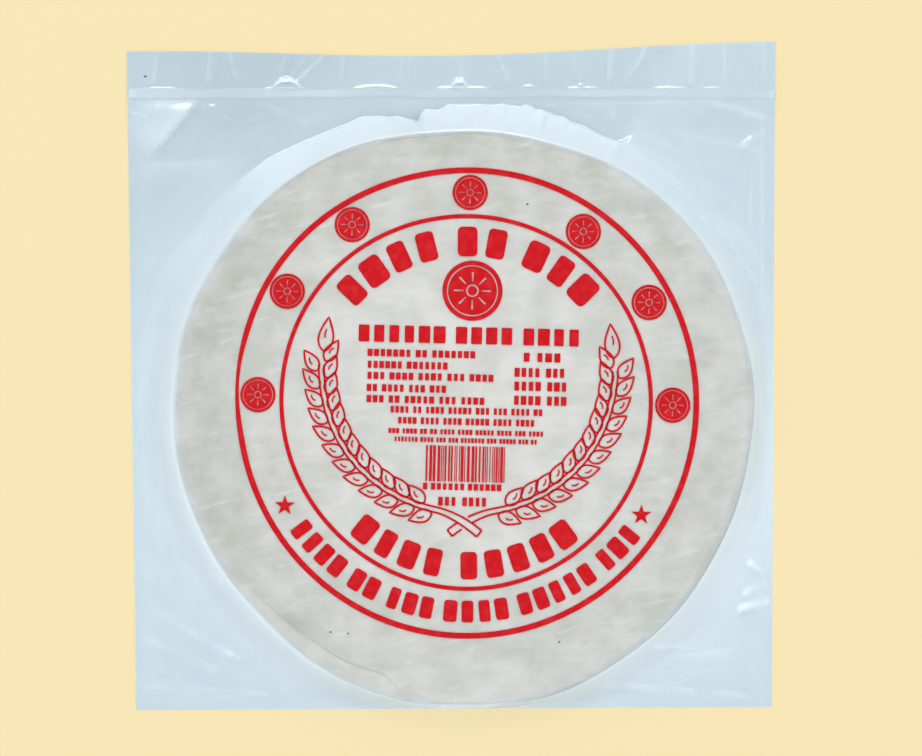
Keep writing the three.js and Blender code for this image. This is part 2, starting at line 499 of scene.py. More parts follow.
def tight_haze_and_painted_highlight(bearing, out):
    """How pale the tight film is: a painted highlight over its slope, with painted highlight lines along
    its foot and along the rim.
    """
    foot = slope_run(bearing)
    along_foot = 0.12 * bump(out - foot, 0.6 * MM)
    along_rim = 0.3 * bump(out - 0.2 * MM, 0.7 * MM) * round_bump(bearing, 86, 30)
    return 0.42 * smooth_step(out, foot + MM, foot - MM) + along_foot + along_rim


def film_haze_and_painted_light(x, y):
    """How pale the front film is where it is stretched round the stack or folded: its own milkiness,
    with painted light beside the stack and painted highlights and glints on the tight slope, the folds
    and the flap.
    """
    bearing, distance = polar(x, y)
    out = distance - rim(bearing)
    # The paleness starts a little inside the rim, earliest at the left: painted light over the shade at
    # the stack's edge.
    early = round_bump(bearing, 175, 110)
    start = smooth_step(out, (-1.0 - 1.8 * early) * MM, 0.5 * MM)
    tight = stretched_tight(bearing)
    loose = (1 - tight) * loose_haze_and_painted_light(bearing, np.clip(out, 0, None) / MM)
    # Paleness round the stack: the film's milkiness together with painted light and painted highlights.
    stretched = start * (loose + tight * tight_haze_and_painted_highlight(bearing, out))
    # A faint painted light over the stack's edge where the film sags.
    stretched = stretched + 0.1 * smooth_step(out, -7 * MM, -0.5 * MM) * (1 - tight)
    # Paler streaks along the flap's creases and the arches' fronts: painted reflections and glints.
    streaks = (0.24 + 0.14 * undulation(x, y, 12 * MM, seed=52)) * flap_creases(x, y) / MM
    on_flap = streaks + 0.55 * arched_puckers(x, y)[1]
    # Below the seal, paler along the folds: crease whitening and painted glints together.
    folds = np.where(y < SEAL_LOWER, fold_relief(x, y)[1] * smooth_step(out, 0, 4 * MM), on_flap)
    return np.clip(stretched + np.maximum(folds, 0), 0, 1)


# ---------------------------------------------------------------------------------------
# Meshes


def grid_faces(numbers, closed=False):
    """Four-sided faces over a grid of point numbers, closed round its rows if asked."""
    if closed:
        numbers = np.concatenate([numbers, numbers[:, :1]], axis=1)
    first, second = numbers[:-1], numbers[1:]
    corners = [first[:, :-1], second[:, :-1], second[:, 1:], first[:, 1:]]
    return np.stack(corners, axis=-1).reshape(-1, 4).tolist()


def grid_sheet(x, y, height):
    """The points and faces of a sheet over a grid of places."""
    numbers = np.arange(x.size).reshape(x.shape)
    return np.stack([x, y, height], axis=-1).reshape(-1, 3), grid_faces(numbers)


def fan_faces(middle, ring):
    """Triangles from a middle point to a closed ring that runs counter-clockwise."""
    return [[middle, a, b] for a, b in zip(ring, [*ring[1:], ring[0]])]


def round_faces(shape, first=0):
    """The faces of rings of points, numbered from the inmost out, and of a middle point after
    them."""
    numbers = first + np.arange(math.prod(shape)).reshape(shape)
    return fan_faces(first + numbers.size, numbers[0].tolist()) + grid_faces(numbers, closed=True)


def round_sheet(x, y, height, middle_height, first=0):
    """A sheet over rings of places round the middle of the stack, numbered from first."""
    points = np.stack([x, y, height], axis=-1).reshape(-1, 3)
    middle = [[*STACK_CENTRE, middle_height]]
    return np.concatenate([points, middle]), round_faces(x.shape, first)


def thicken(points, faces, thickness):
    """A closed thin solid: the sheet, its copy below it, and a wall round every free edge."""
    points = np.asarray(points)
    count = len(points)
    below = points - np.array([0, 0, thickness])
    free = {}
    for face in faces:
        for a, b in zip(face, [*face[1:], face[0]]):
            if (b, a) in free:
                del free[(b, a)]
            else:
                free[(a, b)] = True
    under = [[number + count for number in reversed(face)] for face in faces]
    walls = [[b, a, a + count, b + count] for a, b in free]
    return np.concatenate([points, below]), faces + under + walls


def make_piece(name, points, faces, finish, tones=None):
    """Puts a mesh in the scene as a piece of the pack, smooth apart from its sharp edges."""
    mesh = bpy.data.meshes.new(name)
    mesh.from_pydata([tuple(p) for p in points], [], faces)
    for tone, values in (tones or {}).items():
        mesh.attributes.new(tone, "FLOAT", "POINT").data.foreach_set("value", values)
    mesh.polygons.foreach_set("use_smooth", [True] * len(mesh.polygons))
    mesh.set_sharp_from_angle(angle=math.radians(50))
    mesh.materials.append(finish)
    piece = bpy.data.objects.new(name, mesh)
    bpy.context.scene.collection.objects.link(piece)
    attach(piece, "root")
    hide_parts("sealed_bag")
    return piece


def stations(*stretches):
    """Places along a line, from stretches of (start, end, steps) that follow each other."""
    places = [np.linspace(a, b, steps, endpoint=False) for a, b, steps in stretches]
    return np.concatenate([*places, [stretches[-1][1]]], axis=0)


def pouch_walk():
    """Points round the pouch's outline, counter-clockwise from the seal's right end."""
    walk = []
    steps_by_side = (HEAD_COLUMNS, SIDE_STEPS, FOOT_STEPS, SIDE_STEPS)
    for (start, end), steps in zip(POUCH_SIDES, steps_by_side):
        share = np.arange(steps)[:, None] / steps
        walk.append(start + share * (end - start))
    return np.concatenate(walk)


def film_piece(name, places, faces, finish):
    """A piece of the front film over flat places, carrying how pale the film is there: its milkiness and
    painted light.
    """
    x, y = places[:, 0], places[:, 1]
    points, faces = thicken(np.column_stack([places, film_height(x, y)]), faces, FILM_THICKNESS)
    haze = film_haze_and_painted_light(x, y)
    return make_piece(name, points, faces, finish, {"haze": np.concatenate([haze, haze])})


def make_front_film(finish):
    """The clear film over the stack, from its middle out to the seal and the outline."""
    walk = pouch_walk()
    out = walk - STACK_CENTRE
    bearing = np.arctan2(out[:, 1], out[:, 0])
    far = np.hypot(out[:, 0], out[:, 1])
    heading = out / far[:, None]
    edge, run = rim(bearing), slope_run(bearing)
    near_edge, shoulder = edge - 8 * MM, np.minimum(2 * MM, 0.3 * run)
    above_foot, below_foot = edge + 0.85 * run, edge + 1.12 * run
    levels = stations(
        (0.04 * edge, near_edge, 6),
        (near_edge, edge - shoulder, 5),
        (edge - shoulder, edge + shoulder, 10),
        (edge + shoulder, above_foot, 7),
        (above_foot, below_foot, 6),
        (below_foot, far, 29),
    )
    flat = STACK_CENTRE + levels[..., None] * heading
    flat[-1] = walk
    places = np.concatenate([flat.reshape(-1, 2), [STACK_CENTRE]])
    return film_piece("front_film", places, round_faces(levels.shape), finish)


def make_flap_film(finish):
    """The same film over the seal and along the flap, where its creases are finer."""
    across = 1 - np.arange(FLAP_COLUMNS + 1) / FLAP_COLUMNS
    seal = np.full_like(across, SEAL_LOWER)
    arches = np.full_like(across, SEAL_UPPER - MM)
    over_arches = arches + 7 * MM
    y = stations((seal, arches, 10), (arches, over_arches, 24), (over_arches, head_edge(across), 10))
    x = across_bag(across, y)
    numbers = np.arange(y.size).reshape(y.shape)
    places = np.stack([x, y], axis=-1).reshape(-1, 2)
    return film_piece("flap_film", places, grid_faces(numbers), finish)


def make_back_film(finish):
    """The milky film under the stack, which ends level with the front film all round."""
    across = np.linspace(0, 1, 161)
    foot_y = foot_edge(FOOT_LEFT[0] + across * (FOOT_RIGHT[0] - FOOT_LEFT[0]))
    seal_y = np.full_like(across, SEAL_LOWER)
    y = stations((foot_y, seal_y, 70), (seal_y, head_edge(across), 26))[::-1]
    x = across_bag(across, y)
    points, faces = thicken(*grid_sheet(x, y, back_height(x, y)), FILM_THICKNESS)
    return make_piece("back_film", points, faces, finish)


def make_heat_seal(finish):
    """The strip where both films are melted together, ribbed along its two edges."""
    across = np.linspace(0.002, 0.998, 200)
    upper = SEAL_UPPER + 0.3 * MM * undulation(across, 0 * across, 0.07, seed=41)
    lower = SEAL_LOWER + 0.25 * MM * undulation(across, 0 * across, 0.09, seed=42)
    y = stations((upper, lower, 12))
    x = across_bag(across, y)
    melt = smooth_step(np.minimum(upper - y, y - lower), 0, 1.1 * MM)
    height = back_height(x, y) + (0.085 + 0.06 * melt * (1 + seal_ribs(y))) * MM
    points, faces = thicken(*grid_sheet(x, y, height), SEAL_THICKNESS)
    tones = {"melt": np.concatenate([melt.reshape(-1), melt.reshape(-1)])}
    return make_piece("heat_seal", points, faces, finish, tones)


# ---------------------------------------------------------------------------------------
# The wrappers


def mat_imprint(x, y):
    """The print of a woven drying mat: slats side by side, passing over and under by turns."""
    slat, span = 4.4 * MM, 17 * MM
    drift = 1.6 * MM * undulation(x, y, 45 * MM, seed=21)
    row = (y + drift) / slat
    column = (x + 0.6 * drift) / span + 0.5 * (np.floor(row) % 2)
    across = 0.5 - 0.5 * np.cos(TURN * row)
    over = 0.5 + 0.5 * np.cos(TURN * column)
    worn = np.clip(0.55 + 0.5 * undulation(x, y, 34 * MM, seed=22), 0, 1.3)
    return across * (0.3 + 0.7 * over) * worn


def crinkles(x, y):
    """Fine uneven cockling from drying, stronger towards the rim."""
    near_rim = smooth_step(polar(x, y)[1] / STACK_RADIUS, 0.35, 1)
    coarse = undulation(x, 1.5 * y, 14 * MM, seed=31, waves=13)
    fine = undulation(x, 1.3 * y, 9 * MM, seed=32, waves=13)
    return (coarse + 0.5 * fine) * (0.45 + 0.55 * near_rim)


def top_wrapper_edge(bearing):
    """The top wrapper's outline, drawn in at the lower left and lower right, where the one
    below it shows."""
    gap = bearing_gap(bearing, -128)
    drawn_in = smooth_step(gap, -30, -4) * smooth_step(gap, 28, 20) * (5.0 + 0.09 * gap)
    uneven = 0.25 * np.sin(11 * bearing) + 0.2 * np.sin(23 * bearing + 1)
    drawn_in = drawn_in + 0.9 * round_bump(bearing, -25, 60)
    return rim(bearing) - (1.6 + uneven + drawn_in) * MM


def wrapper_tone(x, y):
    """How much darker the top wrapper is: pale in the middle, darker towards the rim and the left, paler
    at the foot, and darker in a band of painted shade inside its drawn-in edge at the lower left.
    """
    bearing, distance = polar(x, y)
    share = distance / rim(bearing)
    left = round_bump(bearing, 172, 62) * smooth_step(share, 0.72, 0.95)
    upper = round_bump(bearing, 95, 70) * smooth_step(share, 0.78, 0.95)
    foot = round_bump(bearing, -95, 60) * smooth_step(share, 0.8, 0.9)
    # Painted shade: a darker band just inside the top wrapper's drawn-in edge at the lower left.
    painted_edge_shade = round_bump(bearing, -126, 26) * bump(top_wrapper_edge(bearing) - distance, 9 * MM)
    darkening = 0.62 * smooth_step(share, 0.3, 0.95) + 0.55 * left + 0.15 * upper + 0.75 * painted_edge_shade
    return darkening - 0.3 * foot


def make_top_wrapper(finish):
    """The wrapper under the film, with the mat's imprint, crinkles and a curling edge."""
    rays = 460
    bearing = np.arange(rays) / rays * TURN
    edge = top_wrapper_edge(bearing)
    levels = stations((0.02 * edge, 0.94 * edge, 90), (0.94 * edge, edge, 12))
    x, y = round_stack(bearing, levels)
    relief = 0.2 * MM * mat_imprint(x, y) + 0.05 * MM * crinkles(x, y)
    curl = 0.12 * MM * smooth_step(levels / edge, 0.97, 1)
    height = stack_top(x, y) - 0.05 * MM + relief - curl
    points, faces = round_sheet(x, y, height, float(stack_top(*STACK_CENTRE)))
    tone = wrapper_tone(points[:, 0], points[:, 1])
    points, faces = thicken(points, faces, WRAPPER_THICKNESS)
    tones = {"tone": np.concatenate([tone, tone])}
    return make_piece("top_wrapper", points, faces, finish, tones)


def stack_climb(picks, bearing, count):
    """How far up the stack each wrapper's edge lies: unevenly, but never one through another."""
    gaps = []
    for _ in range(count):
        lobes, phase = picks.integers(3, 12), picks.uniform(0, TURN)
        gaps.append(1 + 0.55 * np.sin(lobes * bearing + phase))
    return np.cumsum(gaps, axis=0) / np.sum(gaps, axis=0)


def lower_wrapper_edge(picks, bearing, near_top):
    """The outline of a lower wrapper, which has slipped a little to one side. All but those near
    the top reach further out at the lower right."""
    slip = picks.normal(0, 0.35, 2) * MM
    lobes, phase = picks.integers(2, 6), picks.uniform(0, TURN)
    uneven = (0.35 * np.sin(lobes * bearing + phase) + picks.normal(0, 0.25)) * MM
    wider = 0.0 if near_top else 0.7 * MM * round_bump(bearing, -40, 75)
    edge = rim(bearing) - 0.9 * MM + uneven + wider
    edge = edge + slip[0] * np.cos(bearing) + slip[1] * np.sin(bearing)
    return np.minimum(edge, reach(bearing) - 0.55 * MM)


def make_lower_wrappers(finish):
    """The other wrappers, each a thin disc of its own outline, cockled at its edge."""
    picks = np.random.default_rng(5)
    bearing = np.arange(200) / 200 * TURN
    shares = np.array([0.55, 0.86, 0.95, 0.985, 1.0])[:, None]
    count, lowest, under_top = WRAPPERS - 1, 0.35 * MM, 0.35 * MM
    depth = stack_top(*round_stack(bearing, rim(bearing))) - under_top - lowest
    climb = stack_climb(picks, bearing, count)
    points, faces, first = [], [], 0
    for order in range(count):
        levels = shares * lower_wrapper_edge(picks, bearing, near_top=order >= count - 6)
        at_rim = lowest + depth * climb[order]
        in_middle = lowest + np.mean(depth) * (order + 1) / count
        height = in_middle + (at_rim - in_middle) * smooth_step(shares, 0.8, 1)
        disc, disc_faces = round_sheet(*round_stack(bearing, levels), height, in_middle, first)
        points.append(disc)
        faces += disc_faces
        first += len(disc)
    points, faces = thicken(np.concatenate(points), faces, WRAPPER_THICKNESS)
    # Painted shade: the lower wrappers darken towards the lower right, where their edges show as a dark
    # line beside the top one.
    tone = 0.4 + 0.5 * round_bump(polar(points[:, 0], points[:, 1])[0], -25, 65)
    return make_piece("lower_wrappers", points, faces, finish, {"tone": tone})


def make_specks(finish):
    """The few dark flecks of husk on the top wrapper, and one on the flap."""
    picks, corners = np.random.default_rng(8), 9
    on_wrapper = ((29, 65), (-45.6, -97), (-39, -97.6), (41, -100.8))
    on_flap = ((-116.3, 114),)
    for name, places, surface, lift, slot in (
        ("husk_flecks", on_wrapper, stack_top, 0.2 * MM, "rice_paper"),
        ("flap_fleck", on_flap, film_height, 0.05 * MM, "film"),
    ):
        points, faces, first = [], [], 0
        for place in places:
            ring = circle(0.44, corners) * picks.uniform(0.6, 1.3, (corners, 1)) * (1, 0.7)
            flat = np.concatenate([ring + place, [place]]) * MM
            height = surface(flat[:, 0], flat[:, 1]) + lift
            height[-1] += 0.06 * MM
            points.append(np.column_stack([flat, height]))
            faces += fan_faces(first + corners, list(range(first, first + corners)))
            first += corners + 1
        points, faces = thicken(np.concatenate(points), faces, 0.08 * MM)
        make_piece(name, points, faces, finish)


# ---------------------------------------------------------------------------------------
# The print


class Marks:
    """Red marks of one kind, laid out flat in millimetres from the middle of the print."""

    def __init__(self):
        self.places, self.faces, self.count = [], [], 0

    def add(self, places, faces):
        """More marks, from their places and the faces between them."""
        self.places.append(np.asarray(places, float).reshape(-1, 2))
        self.faces += [[number + self.count for number in face] for face in faces]
        self.count += len(self.places[-1])

    def strip(self, first, second, closed=False):
        """A strip between two rows of places, closed into a ring if asked."""
        numbers = np.arange(2 * len(first)).reshape(2, -1)
        self.add(np.stack([first, second]), grid_faces(numbers, closed))

    def line(self, route, width):
        """A line of even width along a route, with square ends."""
        side = sideways(route) * width / 2
        self.strip(route + side, route - side)

    def fill(self, outline):
        """A filled shape, from an outline that can be seen whole from its middle."""
        middle = outline.mean(axis=0)
        rings = [middle + share * (outline - middle) for share in (0.5, 1.0)]
        self.add(np.concatenate([*rings, [middle]]), round_faces((2, len(outline))))

    def make(self, name, finish):
        """Lays the marks just under the film's face, as one piece."""
        flat = PRINT_CENTRE + turned(np.concatenate(self.places), PRINT_TURN) * MM
        height = film_height(flat[:, 0], flat[:, 1]) - INK_DEPTH
        points = np.column_stack([flat, height])
        points, faces = thicken(points, self.faces, INK_THICKNESS)
        return make_piece(name, points, faces, finish)


def directions(angle):
    """Steps of length 1 along some angles."""
    return np.column_stack([np.cos(angle), np.sin(angle)])


def sideways(route):
    """Steps of length 1 to the left, all along a route."""
    ahead = np.gradient(route, axis=0)
    ahead /= np.hypot(ahead[:, 0], ahead[:, 1])[:, None]
    return np.column_stack([-ahead[:, 1], ahead[:, 0]])


def turned(places, angle, middle=(0, 0)):
    """Places turned by an angle in degrees, then moved to a middle."""
    c, s = math.cos(math.radians(angle)), math.sin(math.radians(angle))
    return np.asarray(places) @ np.array([[c, s], [-s, c]]) + np.asarray(middle)


def place_at(bearing, out, middle=(0, 0)):
    """The place at a bearing in degrees and a distance out from a middle."""
    angle = math.radians(bearing)
    return np.array([math.cos(angle), math.sin(angle)]) * out + middle


def circle(radius, steps):
    """Places round a circle."""
    return directions(np.arange(steps) / steps * TURN) * radius


def block(width, height, corner=0.22):
    """An upright block with rounded corners, whose radius is a share of its width."""
    radius = corner * width
    quarter, step = np.divmod(np.arange(16), 4)
    side = np.array([(1, 1), (-1, 1), (-1, -1), (1, -1)])[quarter]
    arcs = directions((quarter / 4 + step / 12) * TURN) * radius
    return arcs + side * (width / 2 - radius, height / 2 - radius)


def star(radius, points=5, waist=0.4):
    """A pointed star, whose waist is a share of its radius."""
    corner = np.arange(2 * points)
    size = np.where(corner % 2 == 0, radius, waist * radius)
    return directions((corner / (2 * points) + 0.25) * TURN) * size[:, None]


def blocks_round(marks, words, middle, pitch, gap, radius, height, picks):
    """Plain blocks in place of lettering, grouped like words, round an arc."""
    whole = sum(words) * pitch + (len(words) - 1) * gap
    upright = 1 if middle > 0 else -1
    at = middle + upright * whole / 2
    for word in words:
        for _ in range(word):
            bearing = at - upright * pitch / 2
            width = radius * math.radians(pitch) * picks.uniform(0.6, 0.82)
            marks.fill(turned(block(width, height), bearing - 90, place_at(bearing, radius)))
            at -= upright * pitch
        at -= upright * gap


def blocks_in_row(marks, words, start, y, letter, height, space, picks):
    """Small plain blocks in place of a line of words, at a place up the print."""
    x = start
    for word in words:
        for _ in range(word):
            width = letter * picks.uniform(0.56, 0.82)
            marks.fill(block(width, height, 0.1) + (x + letter / 2, y))
            x += letter
        x += space


def make_rings(finish):
    """The two printed rings, pulled out of round with the film at their upper left. The outer
    one is thinner for a short way at its left, and the inner one is dented at its lower left."""
    steps = 360
    bearing = np.arange(steps) / steps * TURN
    ring = circle(1, steps)
    outer, inner = Marks(), Marks()
    pulled = round_bump(bearing, 146, 50)
    width = 2.2 - 0.9 * round_bump(bearing, 176, 16)
    edge = ring * (87.7, 89.3) + ring * (1.6 * pulled)[:, None]
    outer.strip(edge - ring * width[:, None], edge, closed=True)
    dented = 0.6 * round_bump(bearing, 232, 45)
    edge = ring * (70.7, 71.4) + ring * (0.75 * pulled - dented)[:, None] + (-0.5, 0.2)
    inner.strip(edge - 1.6 * ring, edge, closed=True)
    outer.make("outer_ring", finish)
    inner.make("inner_ring", finish)


def sun_disc(marks, radius, place, sectors=120, rays=8):
    """A round dot with bare rings round its core and near its rim, and short bare rays between."""
    core, ray_foot, ray_tip = 0.16, 0.3, 0.62
    bands = ((0.21, ray_foot), (ray_tip, 0.81), (0.85, 1.0))
    ring = directions((np.arange(sectors) - 1) / sectors * TURN) * radius
    marks.fill(ring * core + place)
    for inner, outer in bands:
        marks.strip(ring * inner + place, ring * outer + place, closed=True)
    width = sectors // rays
    for ray in range(rays):
        arc = ring[np.arange(ray * width + 2, (ray + 1) * width + 1) % sectors]
        marks.strip(arc * ray_foot + place, arc * ray_tip + place)


def make_dots(finish):
    """Seven dots between the rings and a larger one inside, each with a plain sun left bare."""
    small, large = Marks(), Marks()
    spots = (
        (0.8, 77.7), (30.4, 78.6), (57.4, 78.4), (90.7, 79.8), (124.3, 80.5), (149.6, 80.4),
        (179.1, 79.5),
    )
    for bearing, out in spots:
        sun_disc(small, 6.7, place_at(bearing, out))
    sun_disc(large, 11.4, (0.8, 42.6))
    small.make("ring_dots", finish)
    large.make("centre_dot", finish)


def make_blocks(finish):
    """The arched and straight rows of blocks that stand in for lettering."""
    picks = np.random.default_rng(12)
    title, rim_words, rows = Marks(), Marks(), Marks()
    blocks_round(title, (4, 2, 3), 91.4, 10.3, 4.4, 61.2, 11.2, picks)
    blocks_round(title, (4, 5), -90.1, 8.9, 3.8, 61.6, 10.4, picks)
    blocks_round(rim_words, (4, 2, 3, 4, 5, 3), -89.6, 4.7, 1.9, 79.0, 8.2, picks)
    blocks_in_row(rows, (6, 4, 4), -42.7, 25.6, 5.72, 6.4, 2.6, picks)

    # Lines at the left, at the right and in the middle: their place up the print, words, start
    # where it isn't shared or worked out, letter width, and height where it isn't shared.
    left_lines = (
        (18.3, (7, 2, 7), 2.42), (13.8, (6, 7), 2.28), (9.6, (3, 4, 4, 3, 4), 2.4),
        (5.0, (2, 4, 3, 3), 2.22), (0.8, (3, 2, 5, 3, 4), 2.35),
    )
    for y, words, letter in left_lines:
        blocks_in_row(rows, words, -38.6, y, letter, 2.7, 1.3, picks)
    right_lines = (
        (17.9, (1, 3), 20.3, 3.3), (12.1, (4, 3), 17.2, 2.55), (6.9, (4, 3), 17.1, 2.7),
        (1.5, (4, 3), 17.1, 2.7),
    )
    for y, words, start, letter in right_lines:
        blocks_in_row(rows, words, start, y, letter, 3.4, 1.7, picks)
    centred = (
        (-3.0, (4, 2, 4, 5, 3, 3, 4, 2), 1.86, 2.5), (-7.1, (4, 4, 4, 5, 4, 4), 1.86, 2.5),
        (-11.1, (3, 4, 2, 2, 4, 4, 5, 4, 3, 4), 1.46, 1.9),
        (-14.2, (7, 4, 3, 3, 7, 3, 5, 3, 2), 1.3, 1.8),
    )
    for y, words, letter, height in centred:
        space = 0.6 * letter
        whole = sum(words) * letter + (len(words) - 1) * space
        blocks_in_row(rows, words, -0.4 - whole / 2, y, letter, height, space, picks)
    blocks_in_row(rows, (1, 6, 6), -16.4, -31.8, 2.2, 2.5, 0.8, picks)
    blocks_in_row(rows, (3, 4), -10.6, -37.4, 2.45, 3.3, 1.8, picks)

    title.make("title_blocks", finish)
    rim_words.make("rim_blocks", finish)
    rows.make("row_blocks", finish)


def make_bars(finish):
    """A panel of plain upright bars of mixed widths."""
    bars, picks = Marks(), np.random.default_rng(4)
    x, right, thin = -15.3, 14.6, 0.34
    top, bottom = -16.3, -29.9
    while x < right:
        width = thin * picks.choice([1, 1, 2, 3])
        route = np.column_stack([np.full(3, x + width / 2), np.linspace(top, bottom, 3)])
        bars.line(route, width)
        x += width + thin * picks.choice([1, 1, 2])
    bars.make("bar_panel", finish)


def make_stars(finish):
    """Two stars between the rings, at their lower left and lower right."""
    stars = Marks()
    for place in ((-68.3, -40.5), (66.8, -40.8)):
        stars.fill(star(4.0) + place)
    stars.make("stars", finish)


def grain(length, width, steps=13):
    """The outline of a plump grain, from its foot at 0 round its pointed tip and back."""
    share = np.linspace(0, 1, steps)
    side = np.sin(math.pi * share ** 0.72) * width / 2
    up = np.column_stack([share * length, side])
    down = np.column_stack([share * length, -side])[::-1]
    return np.concatenate([up, down[1:]])


def ear_stem():
    """The left ear's stem: the bearings and radii of its arc, its whole route and its edges."""
    bearing = np.radians(np.linspace(181, 258, 48))
    radius = 54.8 + smooth_step(bearing, math.radians(180), math.radians(225))
    arc = EAR_CENTRE + directions(bearing) * radius[:, None]
    run = np.linspace(1, 16.4, 26)
    tail = np.column_stack([-10.8 + run, -40.7 - 0.25 * run - 0.017 * run ** 2])
    route = np.concatenate([arc, tail])
    spread = STEM_HALF + 0.5 * smooth_step(route[:, 0], -12, 4)
    edges = [route + sign * sideways(route) * spread[:, None] for sign in (-1, 1)]
    return bearing, radius, route, edges


def stem_lines(route, edges, under):
    """The stem's outline. Where the stems cross, the one that passes under leaves a gap."""
    first, last = np.flatnonzero(np.abs(route[:, 0]) < 1.7)[[0, -1]]
    stretches = (slice(first), slice(last + 1, None)) if under else (slice(None),)
    lines = [edge[stretch] for edge in edges for stretch in stretches]
    end = np.stack([edges[0][-1], route[-1], edges[1][-1]])
    return [(line, EAR_LINE) for line in (*lines, end)]


def grain_lines(outline, crease, heading, foot):
    """A grain's outline and its fine crease, turned to a heading and moved to its foot."""
    outline, crease = turned(outline, heading, foot), turned(crease, heading, foot)
    return [(outline, EAR_LINE), (crease, CREASE_LINE)]


def ear_grains(bearing, radius):
    """The left ear's grains: pairs that lean away from the arc of the stem, and one at its tip."""
    crease = [(3.2, 0.3), (4.2, 0.6), (5.2, 0.3), (5.9, -0.2)]
    lines = []
    for pair in range(12):
        outline = grain(9.3 + 0.4 * math.sin(2 * pair), 4.8)
        for side, first, lean in ((1, 183.4, 31), (-1, 179.6, -30)):
            at = first + 6.8 * pair
            out = np.interp(math.radians(at), bearing, radius) + side * (STEM_HALF + 0.5)
            lines += grain_lines(outline, crease, at - 90 + lean, place_at(at, out, EAR_CENTRE))
    tip_crease = [(5.2, 0.3), (6.8, 0.6), (8.6, 0.2)]
    return lines + grain_lines(grain(13.2, 5.6), tip_crease, 83, EAR_CENTRE + (-54.0, 4.0))


def make_ears(finish):
    """Two ears of grain drawn in line, whose stalks cross at their feet below the rows."""
    bearing, radius, route, edges = ear_stem()
    grains = ear_grains(bearing, radius)
    for name, flip, under in (("left_ear", 1, False), ("right_ear", -1, True)):
        ear = Marks()
        for line, width in stem_lines(route, edges, under) + grains:
            ear.line(line * (flip, 1), width)
        ear.make(name, finish)


# ---------------------------------------------------------------------------------------
# Finishes


class Value:
    """A socket that carries a number, on which Python's arithmetic adds Math nodes."""

    def __init__(self, finish, socket):
        self.finish, self.socket = finish, socket

    def maths(self, operation, first, second=None):
        sockets = {0: first} if second is None else {0: first, 1: second}
        return self.finish.node("ShaderNodeMath", {"operation": operation}, sockets)

    def __add__(self, other):
        return self.maths("ADD", self, other)

    def __sub__(self, other):
        return self.maths("SUBTRACT", self, other)

    def __rsub__(self, other):
        return self.maths("SUBTRACT", other, self)

    def __mul__(self, other):
        return self.maths("MULTIPLY", self, other)

    def __truediv__(self, other):
        return self.maths("DIVIDE", self, other)

    def __pow__(self, other):
        return self.maths("POWER", self, other)

    __radd__, __rmul__ = __add__, __mul__

    def root(self):
        return self.maths("SQRT", self)

    def other(self, output):
        """Another output of the same node."""
        return Value(self.finish, self.socket.node.outputs[output])


class Finish:
    """A node tree for one finish, and the one way in which nodes are added to it."""

    def __init__(self, owner):
        owner.use_nodes = True
        self.owner, self.tree = owner, owner.node_tree
        self.tree.nodes.clear()

    def node(self, kind, settings=None, sockets=None, output=0):
        """Adds a node: its settings first, then the values or links of its sockets."""
        node = self.tree.nodes.new(kind)
        for name, setting in (settings or {}).items():
            if name == "stops":
                self.set_stops(node.color_ramp.elements, setting)
            else:
                setattr(node, name, setting)
        for name, value in (sockets or {}).items():
            if isinstance(value, Value):
                self.tree.links.new(value.socket, node.inputs[name])
            else:
                node.inputs[name].default_value = value
        return Value(self, node.outputs[output]) if len(node.outputs) else None

    def set_stops(self, elements, stops):
        """A ramp's stops, each a place and either a colour or a grey."""
        while len(elements) < len(stops):
            elements.new(1)
        for element, (place, shade) in zip(elements, stops):
            element.position = place
            element.color = shade if isinstance(shade, tuple) else (shade, shade, shade, 1)

    def blend(self, factor, first, second):
        """One colour turning into another."""
        settings = {"data_type": "RGBA", "blend_type": "MIX"}
        return self.node("ShaderNodeMix", settings, {0: factor, 6: first, 7: second}, output=2)

    def place(self):
        """Places on the piece, in metres."""
        return self.node("ShaderNodeTexCoord", output="Object")

    def stretched(self, place, scale, turn=0.0):
        """Places stretched along the axes and then turned in the sheet's plane."""
        sockets = {"Vector": place, "Scale": scale, "Rotation": (0, 0, turn)}
        return self.node("ShaderNodeMapping", {"vector_type": "TEXTURE"}, sockets)

    def noise(self, place, scale, detail=2.0, roughness=0.5):
        sockets = {"Vector": place, "Scale": scale, "Detail": detail, "Roughness": roughness}
        return self.node("ShaderNodeTexNoise", sockets=sockets)

    def ramp(self, factor, *stops):
        return self.node("ShaderNodeValToRGB", {"stops": stops}, {"Fac": factor})

    def relief(self, height, distance, strength=1.0):
        sockets = {"Height": height, "Distance": distance, "Strength": strength}
        return self.node("ShaderNodeBump", sockets=sockets, output="Normal")

    def gloss_at_edge(self, straight_on, edge_on):
        """The share of light that a clear face turns back, more the flatter it is seen."""
        facing = self.node("ShaderNodeLayerWeight", sockets={"Blend": 0.5}, output="Facing")
        return straight_on + facing ** 5 * (edge_on - straight_on)

    def tone(self, name):
        """A tone that the piece's mesh carries at each of its points."""
        return self.node("ShaderNodeAttribute", {"attribute_name": name}, output="Fac")

    def surface(self, sockets):
        """A solid surface, from the values or links of its sockets."""
        return self.node("ShaderNodeBsdfPrincipled", sockets=sockets)

    def mix_shader(self, factor, first, second):
        return self.node("ShaderNodeMixShader", sockets={0: factor, 1: first, 2: second})

    def done(self, shader, output="ShaderNodeOutputMaterial"):
        self.node(output, sockets={"Surface": shader})
        return self.owner


def shade(red, green, blue):
    """A colour given in everyday 0 to 255 steps, as the light it turns back."""

    def light(step):
        step /= 255
        return step / 12.92 if step <= 0.04045 else ((step + 0.055) / 1.055) ** 2.4

    return (light(red), light(green), light(blue), 1)


def new_finish(name):
    """An empty finish for a piece."""
    return Finish(bpy.data.materials.new(name))


